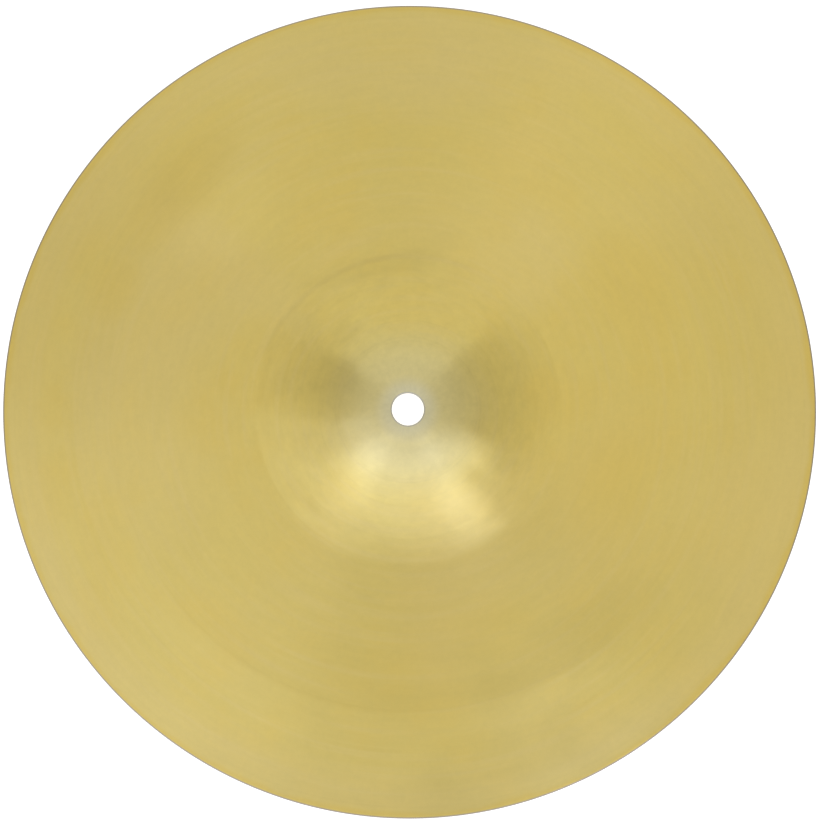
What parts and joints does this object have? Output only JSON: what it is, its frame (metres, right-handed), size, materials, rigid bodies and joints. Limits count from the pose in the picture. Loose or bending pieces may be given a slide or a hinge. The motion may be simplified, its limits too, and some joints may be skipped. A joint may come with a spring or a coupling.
{
  "type": "crash cymbal",
  "caption": "Round brass crash cymbal: a thin pressed sheet with a flared bell, a shallow bow and a central hole for a stand's rod.",
  "frame": {"origin": "centre of the circle that the rim rests on, at the cymbal's base", "axes": "+Z along the cymbal's axis, from the rim towards the bell; the cymbal is round, so X and Y are free"},
  "size_m": [0.3556, 0.3556, 0.0371],
  "materials": {
    "brass": "satin"
  },
  "bodies": {
    "root": {"cymbal": "brass"}
  },
  "joints": []
}
